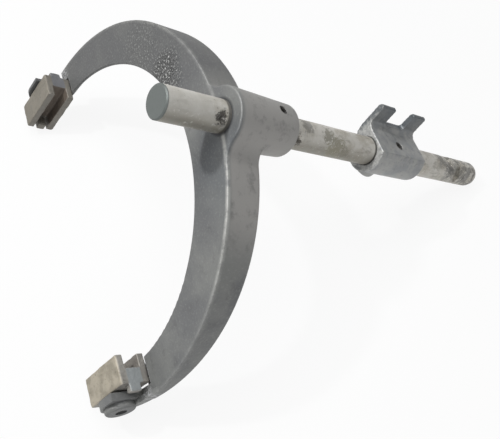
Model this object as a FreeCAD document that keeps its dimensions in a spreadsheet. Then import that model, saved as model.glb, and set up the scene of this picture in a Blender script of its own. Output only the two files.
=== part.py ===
import FreeCAD, Part
import Sketcher
import math
import os
import re

# Gear shift fork pinned to its sliding rod, with a selector bracket and two swivelling shoes.
#
# Drawing frame, in millimetres: X runs along the rod from the fork's front face towards the
# rod's long end, Y from the rod towards the open side of the fork, Z towards the upper shoe.
# Sizes named "level" are distances from the fork's middle plane, the same up and down.
# The finished pieces are then laid in the pose in which the object rests on a floor.

SIZES = {
    # Rod
    "rod_radius": 10.0,
    "rod_front": 44.5,
    "rod_length": 320.3,
    "rod_front_chamfer": 0.8,
    "rod_end_chamfer": 1.0,
    "rod_end_taper": 3.6,
    # Rod dimples and detent notches
    "front_dimple_x": 6.0,
    "front_dimple_radius": 2.9,
    "front_dimple_turn": 144.0,
    "rear_dimple_x": 57.8,
    "rear_dimple_radius": 3.3,
    "rear_dimple_turn": 151.0,
    "dimple_depth": 2.0,
    "upper_notch_x": 225.0,
    "upper_notch_width": 15.0,
    "upper_notch_depth": 3.0,
    "upper_notch_turn": 82.0,
    "side_notch_x": 242.0,
    "side_notch_width": 8.0,
    "side_notch_depth": 3.2,
    "side_notch_turn": 152.0,
    "rod_ring_x": 256.0,
    "rod_ring_width": 1.2,
    "rod_ring_depth": 0.3,
    # Fork arch
    "arch_middle": 19.6,
    "arch_inner_radius": 109.7,
    "arch_inner_z": 20.2,
    "mouth_back": 30.4,
    "arm_width": 25.8,
    "arch_outer_z": 21.1,
    "arch_back": 0.8,
    "arm_overlap": 6.0,
    "shoe_gap": 1.5,
    "shoe_room_depth": 3.6,
    "tab_room_depth": 1.8,
    "tab_gap": 1.0,
    "arm_depth_rod": 27.4,
    "rear_curve_radius": 960.0,
    "rear_curve_y": 67.0,
    "inner_lip": 1.5,
    "inner_relief_angle": 50.0,
    "arch_front_round": 0.8,
    "arch_rear_round": 2.5,
    # Fork hub
    "hub_radius": 18.5,
    "hub_end_radius": 16.6,
    "hub_length": 50.0,
    "hub_rim_round": 2.6,
    "hub_lower_blend": 14.0,
    "hub_upper_blend": 10.0,
    "hub_rear_blend": 4.0,
    # Lugs at the arm ends
    "lug_x": 10.5,
    "lug_reach": 21.5,
    "lug_step": 16.3,
    "lug_near_reach": 12.0,
    "lower_lug_radius": 12.0,
    "lower_lug_plate": 5.0,
    "lower_lug_height": 9.2,
    "upper_lug_radius": 10.8,
    "upper_lug_plate": 2.5,
    "upper_lug_height": 4.5,
    "boss_inset": 2.0,
    "lug_boss_round": 2.0,
    "web_overlap": 7.5,
    "web_root_depth": 7.2,
    "web_front": 2.0,
    "flange_front": 6.0,
    # Shoes
    "shoe_near": 131.5,
    "shoe_length": 39.9,
    "shoe_front": 19.5,
    "shoe_rear": 1.5,
    "lug_gap": 1.5,
    "shoe_web": 10.0,
    "slot_depth": 9.0,
    "slot_front": 14.2,
    "slot_rear": 3.8,
    "shoe_corner_round": 1.5,
    "stop_length": 5.4,
    "stop_width": 6.0,
    "stop_stand": 0.9,
    "stop_round": 2.0,
    "tab_length": 4.5,
    "tab_width": 8.0,
    "tab_x": 10.0,
    "lower_tab_height": 5.0,
    "upper_tab_height": 3.5,
    # Shoe pins
    "pin_radius": 3.7,
    "pin_turn_fit": 0.05,
    "pin_grip": 8.5,
    "pin_recess": 2.0,
    "pin_centre_radius": 1.4,
    "pin_centre_depth": 1.4,
    # Selector bracket
    "bracket_front": 135.0,
    "bracket_length": 53.0,
    "bracket_radius": 15.0,
    "bracket_flat": 12.5,
    "flat_low": 10.0,
    "flat_bevel": 3.5,
    "plate_root_y": 0.6,
    "plate_root_z": 16.9,
    "plate_shoulder_y": 7.0,
    "plate_shoulder_z": 18.6,
    "plate_tip_y": 28.2,
    "plate_tip_z": 21.2,
    "plate_tip_thick": 4.4,
    "plate_foot_y": 15.5,
    "plate_foot_z": 15.2,
    "plate_fillet_z": 11.0,
    "prong_length": 15.5,
    "prong_end_length": 14.5,
    "prong_gap_floor": 14.5,
    "prong_gap_round": 2.0,
    "boss_place": 16.2,
    "boss_radius": 9.2,
    "boss_reach": 18.1,
    "boss_round": 3.0,
    # Slotted spring pins
    "hub_pin_place": 13.5,
    "hub_pin_radius": 3.0,
    "hub_pin_wall": 1.4,
    "hub_pin_slit": 1.2,
    "hub_pin_recess": 0.8,
    "bracket_pin_place": 26.6,
    "bracket_pin_radius": 3.5,
    "bracket_pin_wall": 1.6,
    "bracket_pin_slit": 1.5,
    "bracket_pin_recess": 0.5,
    # Radial clearance of the fixed fits
    "fit": 0.03,
}

# Sizes that follow from the ones above: sums and differences
SUMS = {
    "arch_outer_radius": "arch_inner_radius + arm_width",
    "arch_inner_y": "arch_inner_radius + mouth_back",
    "arch_outer_y": "arch_outer_radius - arch_back",
    "arm_end": "shoe_near + arm_overlap",
    "shoe_room_start": "shoe_near - shoe_gap",
    "lug_y": "shoe_near + lug_reach",
    "web_root": "shoe_near - web_overlap",
    "lug_inner_level": "arch_inner_radius + lug_step",
    "shoe_back_level": "lug_inner_level - lug_gap",
    "shoe_floor_level": "shoe_back_level - shoe_web",
    "shoe_inner_level": "shoe_floor_level - slot_depth",
    "stop_level": "shoe_inner_level - stop_stand",
    "lower_tab_level": "shoe_back_level + lower_tab_height",
    "upper_tab_level": "shoe_back_level + upper_tab_height",
    "tab_room_level": "lower_tab_level + tab_gap",
    "pin_bottom_level": "shoe_back_level - pin_grip",
    "hub_pin_x": "hub_length - hub_pin_place",
    "boss_x": "bracket_front + boss_place",
    "bracket_pin_x": "bracket_front + bracket_pin_place",
}

X_AXIS = FreeCAD.Vector(1, 0, 0)
Y_AXIS = FreeCAD.Vector(0, 1, 0)
ALONG_X = FreeCAD.Rotation(Y_AXIS, 90)
ALONG_Y = FreeCAD.Rotation(X_AXIS, -90)

doc = FreeCAD.newDocument("shift_fork")
sheet = doc.addObject("Spreadsheet::Sheet", "sizes")
for row, (alias, value) in enumerate(SIZES.items(), start=1):
    sheet.set("A%d" % row, alias)
    sheet.set("B%d" % row, str(value))
    sheet.setAlias("B%d" % row, alias)
doc.recompute()


def size(name):
    """Value of a size, or of a sum of sizes."""
    if name not in SUMS:
        return float(sheet.get(name))
    words = SUMS[name].split()
    total = size(words[0])
    for sign, word in zip(words[1::2], words[2::2]):
        total += size(word) if sign == "+" else -size(word)
    return total


def formula(text):
    """Turn size names in a formula into references to the sheet's cells."""
    def reference(found):
        word = found.group(0)
        if word in SUMS:
            return "(%s)" % formula(SUMS[word])
        return "sizes." + word if word in SIZES else word

    return re.sub(r"[a-z][a-z_]+", reference, str(text))


def bind(item, prop, text):
    item.setExpression(prop, formula(text))


def put(item, place, rotation=None):
    item.Placement = FreeCAD.Placement(FreeCAD.Vector(), rotation or FreeCAD.Rotation())
    for axis, text in zip("xyz", place):
        bind(item, "Placement.Base." + axis, text)
    return item


def cylinder(name, radius, height, place, rotation=None):
    item = doc.addObject("Part::Cylinder", name)
    bind(item, "Radius", radius)
    bind(item, "Height", height)
    return put(item, place, rotation)


def cone(name, radius_start, radius_end, height, place, rotation=None):
    item = doc.addObject("Part::Cone", name)
    bind(item, "Radius1", radius_start)
    bind(item, "Radius2", radius_end)
    bind(item, "Height", height)
    return put(item, place, rotation)


def block(name, length, width, height, place):
    item = doc.addObject("Part::Box", name)
    bind(item, "Length", length)
    bind(item, "Width", width)
    bind(item, "Height", height)
    return put(item, place)


def cut(name, base, tools):
    item = base
    for number, tool in enumerate(tools):
        last = number == len(tools) - 1
        step = doc.addObject("Part::Cut", name if last else "%s_step_%d" % (name, number))
        step.Base = item
        step.Tool = tool
        item = step
    return item


def fuse(name, parts):
    item = doc.addObject("Part::MultiFuse", name)
    item.Shapes = parts
    return item


def common(name, first, second):
    item = doc.addObject("Part::Common", name)
    item.Base = first
    item.Tool = second
    item.Refine = True
    return item


def turned(name, item, angle):
    """Group one piece and turn it about the rod's axis."""
    group = doc.addObject("Part::Compound", name)
    group.Links = [item]
    group.Placement = FreeCAD.Placement(FreeCAD.Vector(), FreeCAD.Rotation(X_AXIS, 0))
    bind(group, "Placement.Rotation.Angle", angle)
    return group


def rounded(name, base, radius_of):
    """Round every edge for which radius_of gives a radius."""
    doc.recompute()
    edges = []
    for number, edge in enumerate(base.Shape.Edges, start=1):
        radius = radius_of(edge)
        if radius:
            edges.append((number, radius, radius))
    item = doc.addObject("Part::Fillet", name)
    item.Base = base
    item.Edges = edges
    return item


def plane_of(body, role):
    return next(item for item in body.Origin.OriginFeatures if item.Role == role)


def new_sketch(body, name, role, offset):
    sketch = body.newObject("Sketcher::SketchObject", name)
    sketch.AttachmentSupport = [(plane_of(body, role), "")]
    sketch.MapMode = "FlatFace"
    bind(sketch, "AttachmentOffset.Base.z", offset)
    return sketch


def fix_distance(sketch, kind, geometry, point, text, start):
    number = sketch.addConstraint(Sketcher.Constraint(kind, -1, 1, geometry, point, start))
    bind(sketch, "Constraints[%d]" % number, text)


def outline(body, name, role, offset, corners):
    """Closed outline whose corners are each held by two sizes from the origin."""
    sketch = new_sketch(body, name, role, offset)
    count = len(corners)
    ring = []
    for number in range(count):
        angle = 2 * math.pi * number / count
        ring.append(FreeCAD.Vector(10 + 5 * math.cos(angle), 10 + 5 * math.sin(angle), 0))
    for number in range(count):
        line = Part.LineSegment(ring[number], ring[(number + 1) % count])
        sketch.addGeometry(line, False)
    for number in range(count):
        after = (number + 1) % count
        sketch.addConstraint(Sketcher.Constraint("Coincident", number, 2, after, 1))
    for number, (across, up) in enumerate(corners):
        fix_distance(sketch, "DistanceX", number, 1, across, ring[number].x)
        fix_distance(sketch, "DistanceY", number, 1, up, ring[number].y)
    return sketch


def disc(body, name, role, offset, across, up, radius):
    sketch = new_sketch(body, name, role, offset)
    start = FreeCAD.Vector(3, 3, 0)
    sketch.addGeometry(Part.Circle(start, FreeCAD.Vector(0, 0, 1), 5), False)
    fix_distance(sketch, "DistanceX", 0, 3, across, start.x)
    fix_distance(sketch, "DistanceY", 0, 3, up, start.y)
    number = sketch.addConstraint(Sketcher.Constraint("Radius", 0, 5))
    bind(sketch, "Constraints[%d]" % number, radius)
    return sketch


def pad(body, name, sketch, length, backwards=False):
    item = body.newObject("PartDesign::Pad", name)
    item.Profile = sketch
    item.Reversed = backwards
    bind(item, "Length", length)
    return item


def pocket_through(body, name, sketch):
    item = body.newObject("PartDesign::Pocket", name)
    item.Profile = sketch
    item.Type = "ThroughAll"
    return item


def body_fillet(body, name, base, radius, wanted):
    doc.recompute()
    names = []
    for number, edge in enumerate(base.Shape.Edges, start=1):
        if wanted(edge):
            names.append("Edge%d" % number)
    item = body.newObject("PartDesign::Fillet", name)
    item.Base = (base, names)
    bind(item, "Radius", radius)
    return item


def near(first, second):
    return abs(first - second) < 0.02


def runs_along(edge, axis):
    """True for a straight edge parallel to the axis."""
    if not isinstance(edge.Curve, Part.Line):
        return False
    return abs(edge.Curve.Direction.dot(axis)) > 0.999


# Shift rod: a ground bar with two spot-drilled dimples, two detent notches and a worn end

def spot(name, along, radius, angle):
    """Conical dimple sunk in the rod's surface."""
    deep = "rod_radius - dimple_depth"
    tool = cone(name + "_tip", "0", radius + " * 2", "dimple_depth * 2", (along, "0", deep))
    return turned(name, tool, angle)


def notch(name, along, width, depth, angle):
    """Flat-bottomed cut milled straight across the rod."""
    tool = block(name + "_cut", width, "rod_radius * 4", "rod_radius",
                 (along, "-rod_radius * 2", "rod_radius - " + depth))
    return turned(name, tool, angle)


rod_main = cylinder("rod_main", "rod_radius",
                    "rod_length - rod_front_chamfer - rod_end_taper",
                    ("rod_front_chamfer - rod_front", "0", "0"), ALONG_X)
rod_nose = cone("rod_nose", "rod_radius - rod_front_chamfer", "rod_radius",
                "rod_front_chamfer", ("-rod_front", "0", "0"), ALONG_X)
rod_tail = cone("rod_tail", "rod_radius", "rod_radius - rod_end_chamfer", "rod_end_taper",
                ("rod_length - rod_front - rod_end_taper", "0", "0"), ALONG_X)
rod_blank = fuse("rod_blank", [rod_main, rod_nose, rod_tail])
ring_outer = cylinder("ring_outer", "rod_radius + 1", "rod_ring_width",
                      ("rod_ring_x", "0", "0"), ALONG_X)
ring_inner = cylinder("ring_inner", "rod_radius - rod_ring_depth", "rod_ring_width + 2",
                      ("rod_ring_x - 1", "0", "0"), ALONG_X)
rod_ring = cut("rod_ring", ring_outer, [ring_inner])


def cross_hole(name, along, radius):
    return cylinder(name, radius + " + fit", "hub_radius * 4",
                    (along, "-hub_radius * 2", "0"), ALONG_Y)


shift_rod = cut("shift_rod", rod_blank, [
    spot("front_dimple", "-front_dimple_x", "front_dimple_radius", "front_dimple_turn"),
    spot("rear_dimple", "rear_dimple_x", "rear_dimple_radius", "rear_dimple_turn"),
    notch("upper_notch", "upper_notch_x", "upper_notch_width", "upper_notch_depth",
          "upper_notch_turn"),
    notch("side_notch", "side_notch_x", "side_notch_width", "side_notch_depth",
          "side_notch_turn"),
    rod_ring,
    cross_hole("rod_hub_pin_hole", "hub_pin_x", "hub_pin_radius"),
    cross_hole("rod_bracket_pin_hole", "bracket_pin_x", "bracket_pin_radius"),
])


# Fork: forged arch whose arms thin towards their ends, a hub for the rod and two lugs

arch_outer = cylinder("arch_outer", "arch_outer_radius", "hub_length",
                      ("0", "arch_outer_y", "arch_outer_z"), ALONG_X)
arch_inner = cylinder("arch_inner", "arch_inner_radius", "hub_length + 2",
                      ("-1", "arch_inner_y", "arch_inner_z"), ALONG_X)
wide = "arch_outer_radius * 3"
beyond_arms = block("beyond_arms", "hub_length + 2", wide, wide,
                    ("-1", "arm_end", "arch_middle - arch_outer_radius * 1.5"))
shoe_room = block("shoe_room", "shoe_room_depth + 1", wide, "lug_inner_level * 2",
                  ("-1", "shoe_room_start", "arch_middle - lug_inner_level"))
tab_room = block("tab_room", "tab_room_depth + 1", wide, "tab_room_level - lug_inner_level + 1",
                 ("-1", "shoe_room_start", "arch_middle - tab_room_level"))
arch = cut("arch", arch_outer, [arch_inner, beyond_arms, shoe_room, tab_room])
hub_fall = "((hub_radius - hub_end_radius) / hub_length)"
hub_waist = "(hub_radius - %s * arm_depth_rod)" % hub_fall
rear_curve_x = "(arm_depth_rod - sqrt(rear_curve_radius ^ 2 - rear_curve_y ^ 2))"
hub_cone = cone("hub_cone", "hub_radius", "hub_end_radius", "hub_length",
                ("0", "0", "0"), ALONG_X)
plan = fuse("plan", [arch, hub_cone])


def hub_corner(edge):
    """Radius for the two inside corners between hub and arch."""
    ends = sorted([vertex.Point for vertex in edge.Vertexes], key=lambda point: point.x)
    if not near(ends[-1].x - ends[0].x, size("hub_length")):
        return 0
    if not near(math.hypot(ends[0].y, ends[0].z), size("hub_radius")):
        return 0
    if near(ends[0].y, 0):
        return 0
    return size("hub_upper_blend") if ends[0].z > 0 else size("hub_lower_blend")


plan_blended = rounded("plan_blended", plan, hub_corner)
rear_curve = cylinder("rear_curve", "rear_curve_radius", wide,
                      (rear_curve_x, "-rear_curve_y", "arch_middle - arch_outer_radius * 1.5"))
forging = common("forging", plan_blended, rear_curve)


def rear_depth(y):
    """Depth of the fork's rear face at a distance from the rod."""
    radius = size("rear_curve_radius")
    middle = size("rear_curve_y")
    crown = math.sqrt(radius ** 2 - middle ** 2)
    return size("arm_depth_rod") - crown + math.sqrt(radius ** 2 - (y + middle) ** 2)


def on_rear_face(edge):
    points = [edge.valueAt(edge.FirstParameter), edge.valueAt(edge.LastParameter)]
    points.append(edge.valueAt((edge.FirstParameter + edge.LastParameter) / 2))
    return all(near(point.x, rear_depth(point.y)) for point in points)


def rear_edges(edge):
    """Radius for the outer rim of the rear face."""
    middle = edge.valueAt((edge.FirstParameter + edge.LastParameter) / 2)
    if not on_rear_face(edge) or near(middle.y, size("arm_end")):
        return 0
    reach = math.hypot(middle.y - size("arch_inner_y"), middle.z - size("arch_inner_z"))
    around_hub = math.hypot(middle.y, middle.z) < size("hub_radius")
    inside = near(reach, size("arch_inner_radius"))
    return 0 if around_hub or inside else size("arch_rear_round")


def front_edges(edge):
    points = [edge.valueAt(edge.FirstParameter), edge.valueAt(edge.LastParameter)]
    middle = edge.valueAt((edge.FirstParameter + edge.LastParameter) / 2)
    if not isinstance(edge.Curve, Part.Circle) or not all(near(point.x, 0) for point in points):
        return 0
    return size("arch_front_round") if near(middle.x, 0) else 0


rear_rounded = rounded("rear_rounded", forging, rear_edges)
front_rounded = rounded("front_rounded", rear_rounded, front_edges)
inner_relief = cone("inner_relief", "arch_inner_radius",
                    "arch_inner_radius + (hub_length + 2) * tan(inner_relief_angle)",
                    "hub_length + 2", ("inner_lip", "arch_inner_y", "arch_inner_z"), ALONG_X)
arch_finished = cut("arch_finished", front_rounded, [inner_relief])


def hub_rim(edge):
    if len(edge.Vertexes) > 1 or runs_along(edge, X_AXIS):
        return 0
    at_front = near(edge.CenterOfMass.x, 0)
    return size("arch_front_round") if at_front else size("hub_rim_round")


hub = rounded("hub", hub_cone, hub_rim)
foot_y = "(hub_radius + hub_rear_blend)"
foot_start = "(%s + sqrt(rear_curve_radius ^ 2 - (%s + rear_curve_y) ^ 2))" % (
    rear_curve_x, foot_y)
foot_ring = cylinder("foot_ring", hub_waist + " + hub_rear_blend", "hub_rear_blend",
                     (foot_start, "0", "0"), ALONG_X)
foot_hollow = doc.addObject("Part::Torus", "foot_hollow")
bind(foot_hollow, "Radius1", hub_waist + " + hub_rear_blend")
bind(foot_hollow, "Radius2", "hub_rear_blend")
put(foot_hollow, (foot_start + " + hub_rear_blend", "0", "0"), ALONG_X)
foot = common("foot", cut("foot_flare", foot_ring, [foot_hollow]), plan_blended)


def lug(name, side):
    """Lug plate with a raised boss for the shoe pin, and the web that joins it to the arm."""
    radius = name + "_radius"
    plate = name + "_plate"
    height = name + "_height"

    def low(thick):
        inner = "arch_middle + lug_inner_level" if side > 0 else "arch_middle - lug_inner_level"
        return inner if side > 0 else "%s - %s" % (inner, thick)

    end = cylinder(name + "_end", radius, plate, ("-lug_x", "lug_y", low(plate)))
    near_half = block(name + "_near_half", radius + " * 2", "lug_near_reach", plate,
                      ("-lug_x - " + radius, "lug_y - lug_near_reach", low(plate)))
    boss = cylinder(name + "_boss", radius + " - boss_inset", height,
                    ("-lug_x", "lug_y", low(height)))
    top = size("arch_middle") + side * (size("lug_inner_level") + size(height))

    def top_rim(edge):
        if len(edge.Vertexes) > 1 or not near(edge.CenterOfMass.z, top):
            return 0
        return size("lug_boss_round")

    boss_rounded = rounded(name + "_boss_rounded", boss, top_rim)
    shell = cylinder(name + "_shell", "arch_outer_radius", "lug_near_reach * 8",
                     ("-lug_near_reach * 4", "arch_outer_y", "arch_outer_z"), ALONG_X)
    pieces = [end, near_half, boss_rounded]
    joints = [("_web", "tab_room_depth", "-web_front", "0")]
    if side < 0:
        joints.append(("_flange", "0", "-flange_front", "(tab_room_level - lug_inner_level)"))
    for part, front_root, front_end, inner in joints:
        blank = doc.addObject("Part::Wedge", name + part + "_blank")
        put(blank, ("0", "web_root", low(height)))
        stop = height + " - " + inner
        for prop, text in (
                ("Xmin", front_root), ("Xmax", "web_root_depth"), ("Zmin", "0"),
                ("Zmax", stop), ("X2min", front_end), ("X2max", radius + " - lug_x"),
                ("Z2min", "0"), ("Z2max", stop), ("Ymin", "0"),
                ("Ymax", "lug_y - web_root")):
            bind(blank, prop, text)
        pieces.append(common(name + part, blank, shell))
    return pieces


fork_whole = fuse("fork_whole", [arch_finished, hub, foot]
                  + lug("lower_lug", -1) + lug("upper_lug", 1))
fork_bores = [cylinder(name, "pin_radius + pin_turn_fit", "lug_near_reach * 3",
                       ("-lug_x", "lug_y", "arch_middle %s lug_inner_level - lug_near_reach * 1.5"
                        % sign))
              for name, sign in (("lower_lug_bore", "-"), ("upper_lug_bore", "+"))]
rod_bore = cylinder("rod_bore", "rod_radius + fit", "hub_length + 2",
                    ("-1", "0", "0"), ALONG_X)
fork = cut("fork", fork_whole, [
    rod_bore,
    cross_hole("fork_pin_hole", "hub_pin_x", "hub_pin_radius"),
] + fork_bores)


# Shoes: a channel block that hangs on the lug by its pin

def shoe(name, side):
    sign = "+" if side > 0 else "-"

    def level(text):
        return "arch_middle %s %s" % (sign, text)

    body = doc.addObject("PartDesign::Body", name + "_block")
    far = "-(shoe_near + shoe_length)"
    corners = [
        ("-shoe_front", level("shoe_inner_level")),
        ("-slot_front", level("shoe_inner_level")),
        ("-slot_front", level("shoe_floor_level")),
        ("-slot_rear", level("shoe_floor_level")),
        ("-slot_rear", level("shoe_inner_level")),
        ("shoe_rear", level("shoe_inner_level")),
        ("shoe_rear", level("shoe_back_level")),
        ("-shoe_front", level("shoe_back_level")),
    ]
    profile = outline(body, name + "_section", "XZ_Plane", far, corners)
    channel = pad(body, name + "_channel", profile, "shoe_length")

    def outer_corner(edge):
        """The four upright corners at the ends of the block."""
        point = edge.CenterOfMass
        outside = near(point.x, size("shoe_rear")) or near(point.x, -size("shoe_front"))
        return runs_along(edge, FreeCAD.Vector(0, 0, 1)) and outside

    body_fillet(body, name + "_corners", channel, "shoe_corner_round", outer_corner)
    middle = "(-slot_front - slot_rear) / 2"
    left = "%s - stop_width / 2" % middle
    right = "%s + stop_width / 2" % middle
    stop_profile = outline(body, name + "_stop_section", "XZ_Plane", far, [
        (left, level("stop_level")), (right, level("stop_level")),
        (right, level("(shoe_floor_level + 2)")), (left, level("(shoe_floor_level + 2)"))])
    stop = pad(body, name + "_stop", stop_profile, "stop_length")

    def stop_edge(edge):
        point = edge.CenterOfMass
        top = size("arch_middle") + side * size("stop_level")
        start = size("shoe_near") + size("shoe_length") - size("stop_length")
        return near(point.z, top) and near(point.y, start)

    body_fillet(body, name + "_stop_rounded", stop, "stop_round", stop_edge)
    tab_level = level(name.replace("shoe", "tab_level"))
    tab_profile = outline(body, name + "_tab_section", "XZ_Plane",
                          "-(shoe_near + tab_length)", [
        ("-tab_x - tab_width / 2", tab_level),
        ("-tab_x + tab_width / 2", tab_level),
        ("-tab_x + tab_width / 2", level("(shoe_back_level - 2)")),
        ("-tab_x - tab_width / 2", level("(shoe_back_level - 2)"))])
    pad(body, name + "_tab", tab_profile, "tab_length")
    depth = "shoe_back_level + 1 - pin_bottom_level"
    low = (level("pin_bottom_level") if side > 0 else level("shoe_back_level") + " - 1")
    hole = cylinder(name + "_pin_hole", "pin_radius + fit", depth, ("-lug_x", "lug_y", low))
    return cut(name, body, [hole])


lower_shoe = shoe("lower_shoe", -1)
upper_shoe = shoe("upper_shoe", 1)


# Shoe pins: pressed in the shoe, turning in the lug and sunk below its face

def shoe_pin(name, side):
    lug_height = name.replace("shoe_pin", "lug_height")
    length = "(lug_inner_level + %s - pin_recess - pin_bottom_level)" % lug_height
    low = "pin_bottom_level" if side > 0 else "-(pin_bottom_level + %s)" % length
    shank = cylinder(name + "_shank", "pin_radius", length,
                     ("-lug_x", "lug_y", "arch_middle + " + low))
    centre_low = ("pin_bottom_level + %s - pin_centre_depth" % length if side > 0
                  else "-(pin_bottom_level + %s) - 1" % length)
    centre = cylinder(name + "_centre", "pin_centre_radius", "pin_centre_depth + 1",
                      ("-lug_x", "lug_y", "arch_middle + " + centre_low))
    return cut(name, shank, [centre])


lower_shoe_pin = shoe_pin("lower_shoe_pin", -1)
upper_shoe_pin = shoe_pin("upper_shoe_pin", 1)


# Selector bracket: hub, pin boss, flat and the forked plate

bracket_body = doc.addObject("PartDesign::Body", "bracket_body")
hub_disc = disc(bracket_body, "bracket_hub_outline", "YZ_Plane", "bracket_front",
                "0", "0", "bracket_radius")
pad(bracket_body, "bracket_hub", hub_disc, "bracket_length")
boss_disc = disc(bracket_body, "bracket_boss_outline", "XZ_Plane", "0",
                 "boss_x", "0", "boss_radius")
boss = pad(bracket_body, "bracket_boss", boss_disc, "boss_reach", backwards=True)


def boss_rim(edge):
    return near(edge.CenterOfMass.y, size("boss_reach")) and not runs_along(edge, Y_AXIS)


boss_rounded = body_fillet(bracket_body, "bracket_boss_rim", boss, "boss_round", boss_rim)
beyond = "bracket_radius * 2"
flat_cut = outline(bracket_body, "flat_outline", "YZ_Plane", "bracket_front + bracket_length", [
    ("-bracket_flat", "-" + beyond), ("-bracket_flat", beyond),
    ("-" + beyond, beyond), ("-" + beyond, "-" + beyond)])
pocket_through(bracket_body, "bracket_flat_cut", flat_cut)
plate = outline(bracket_body, "plate_outline", "YZ_Plane", "bracket_front", [
    ("-plate_root_y", "bracket_radius - 3"),
    ("-plate_root_y", "plate_root_z - 1"),
    ("-plate_root_y - 1.2", "plate_root_z"),
    ("-plate_shoulder_y", "plate_shoulder_z"),
    ("-plate_tip_y + 2.4", "plate_tip_z"),
    ("-plate_tip_y", "plate_tip_z - 1.2"),
    ("-plate_tip_y", "plate_tip_z - plate_tip_thick + 0.8"),
    ("-plate_tip_y + 0.8", "plate_tip_z - plate_tip_thick"),
    ("-plate_foot_y", "plate_foot_z"),
    ("-(plate_foot_y * 0.4 + bracket_flat * 0.6)",
     "plate_foot_z * 0.7 + plate_fillet_z * 0.3"),
    ("-bracket_flat", "plate_fillet_z"),
    ("-bracket_flat", "-flat_low"),
    ("-bracket_flat + flat_bevel", "-(flat_low + flat_bevel * 0.7)"),
    ("-2", "-(flat_low + flat_bevel * 0.7)"),
    ("-2", "0"),
])
pad(bracket_body, "bracket_plate", plate, "bracket_length")
prong_gap = outline(bracket_body, "prong_gap_outline", "XY_Plane", "plate_tip_z * 2", [
    ("bracket_front + prong_length", "-plate_tip_y * 2"),
    ("bracket_front + bracket_length - prong_end_length", "-plate_tip_y * 2"),
    ("bracket_front + bracket_length - prong_end_length", "-prong_gap_floor"),
    ("bracket_front + prong_length", "-prong_gap_floor")])
gap_cut = pocket_through(bracket_body, "bracket_prong_gap", prong_gap)


def gap_corner(edge):
    return runs_along(edge, FreeCAD.Vector(0, 0, 1)) and near(
        edge.CenterOfMass.y, -size("prong_gap_floor"))


body_fillet(bracket_body, "bracket_gap_corners", gap_cut, "prong_gap_round", gap_corner)
bracket_bore = cylinder("bracket_bore", "rod_radius + fit", "bracket_length + 2",
                        ("bracket_front - 1", "0", "0"), ALONG_X)
selector_bracket = cut("selector_bracket", bracket_body, [
    bracket_bore, cross_hole("bracket_pin_hole", "bracket_pin_x", "bracket_pin_radius")])


# Slotted spring pins driven through hub and rod, and through bracket and rod

def spring_pin(name, prefix, low, high):
    """Rolled pin with an open slit, lying along Y."""
    radius = prefix + "_radius"
    length = "(%s) - (%s)" % (high, low)
    outer = cylinder(name + "_outer", radius, length, (prefix + "_x", low, "0"), ALONG_Y)
    inner = cylinder(name + "_inner", "%s - %s_wall" % (radius, prefix), length + " + 2",
                     (prefix + "_x", "(%s) - 1" % low, "0"), ALONG_Y)
    slit = block(name + "_slit", prefix + "_slit", length + " + 2", radius + " * 2",
                 ("%s_x - %s_slit / 2" % (prefix, prefix), "(%s) - 1" % low, "0"))
    return cut(name, outer, [inner, slit])


hub_surface = "(hub_radius - (hub_radius - hub_end_radius) * hub_pin_x / hub_length)"
hub_roll_pin = spring_pin("hub_roll_pin", "hub_pin",
                          "-(%s - hub_pin_recess)" % hub_surface,
                          "%s - hub_pin_recess" % hub_surface)
bracket_roll_pin = spring_pin("bracket_roll_pin", "bracket_pin",
                              "-(bracket_flat - bracket_pin_recess)",
                              "bracket_radius - bracket_pin_recess - 0.5")


# Rest pose: the lower corners of both shoes and the rod's long end touch the floor

PIECES = [fork, shift_rod, selector_bracket, hub_roll_pin, bracket_roll_pin,
          lower_shoe, upper_shoe, lower_shoe_pin, upper_shoe_pin]
corner = size("shoe_corner_round")
shoe_foot = FreeCAD.Vector(size("shoe_rear") - corner,
                           size("shoe_near") + size("shoe_length") - corner, 0)
rod_foot = FreeCAD.Vector(size("rod_length") - size("rod_front"),
                          size("rod_radius") - size("rod_end_chamfer"), 0)
run = rod_foot.x - shoe_foot.x
rise = shoe_foot.y - rod_foot.y
tilt = math.atan2(rise, run) + math.asin(corner / math.hypot(run, rise))
turn = FreeCAD.Rotation(Y_AXIS, math.degrees(tilt)) * FreeCAD.Rotation(X_AXIS, -90)
doc.recompute()
extent = FreeCAD.BoundBox()
for piece in PIECES:
    posed = piece.Shape.copy()
    posed.transformShape(FreeCAD.Placement(FreeCAD.Vector(), turn).toMatrix())
    extent.add(posed.optimalBoundingBox(False))
floor = turn.multVec(rod_foot).z
rest = FreeCAD.Placement(FreeCAD.Vector(-extent.Center.x, -extent.Center.y, -floor), turn)
for piece in PIECES:
    piece.Placement = rest
    piece.Label = piece.Name
doc.recompute()

for item in doc.Objects:
    if "Invalid" in item.State or "Error" in item.State:
        raise RuntimeError("%s did not build: %s" % (item.Name, item.State))
for piece in PIECES:
    if piece.Shape.isNull() or not piece.Shape.isValid() or len(piece.Shape.Solids) != 1:
        raise RuntimeError("%s is not one valid solid" % piece.Name)
os.makedirs("parts", exist_ok=True)
for piece in PIECES:
    piece.Shape.exportStep("parts/%s.step" % piece.Label)
    box = piece.Shape.BoundBox
    print(piece.Label, "%.0f mm3" % piece.Shape.Volume, "x %.1f..%.1f" % (box.XMin, box.XMax),
          "y %.1f..%.1f" % (box.YMin, box.YMax), "z %.1f..%.1f" % (box.ZMin, box.ZMax))
print("tilt %.3f deg, offset %s" % (math.degrees(tilt), rest.Base))
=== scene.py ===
import math

import bpy
from mathutils import Matrix, Vector


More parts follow.
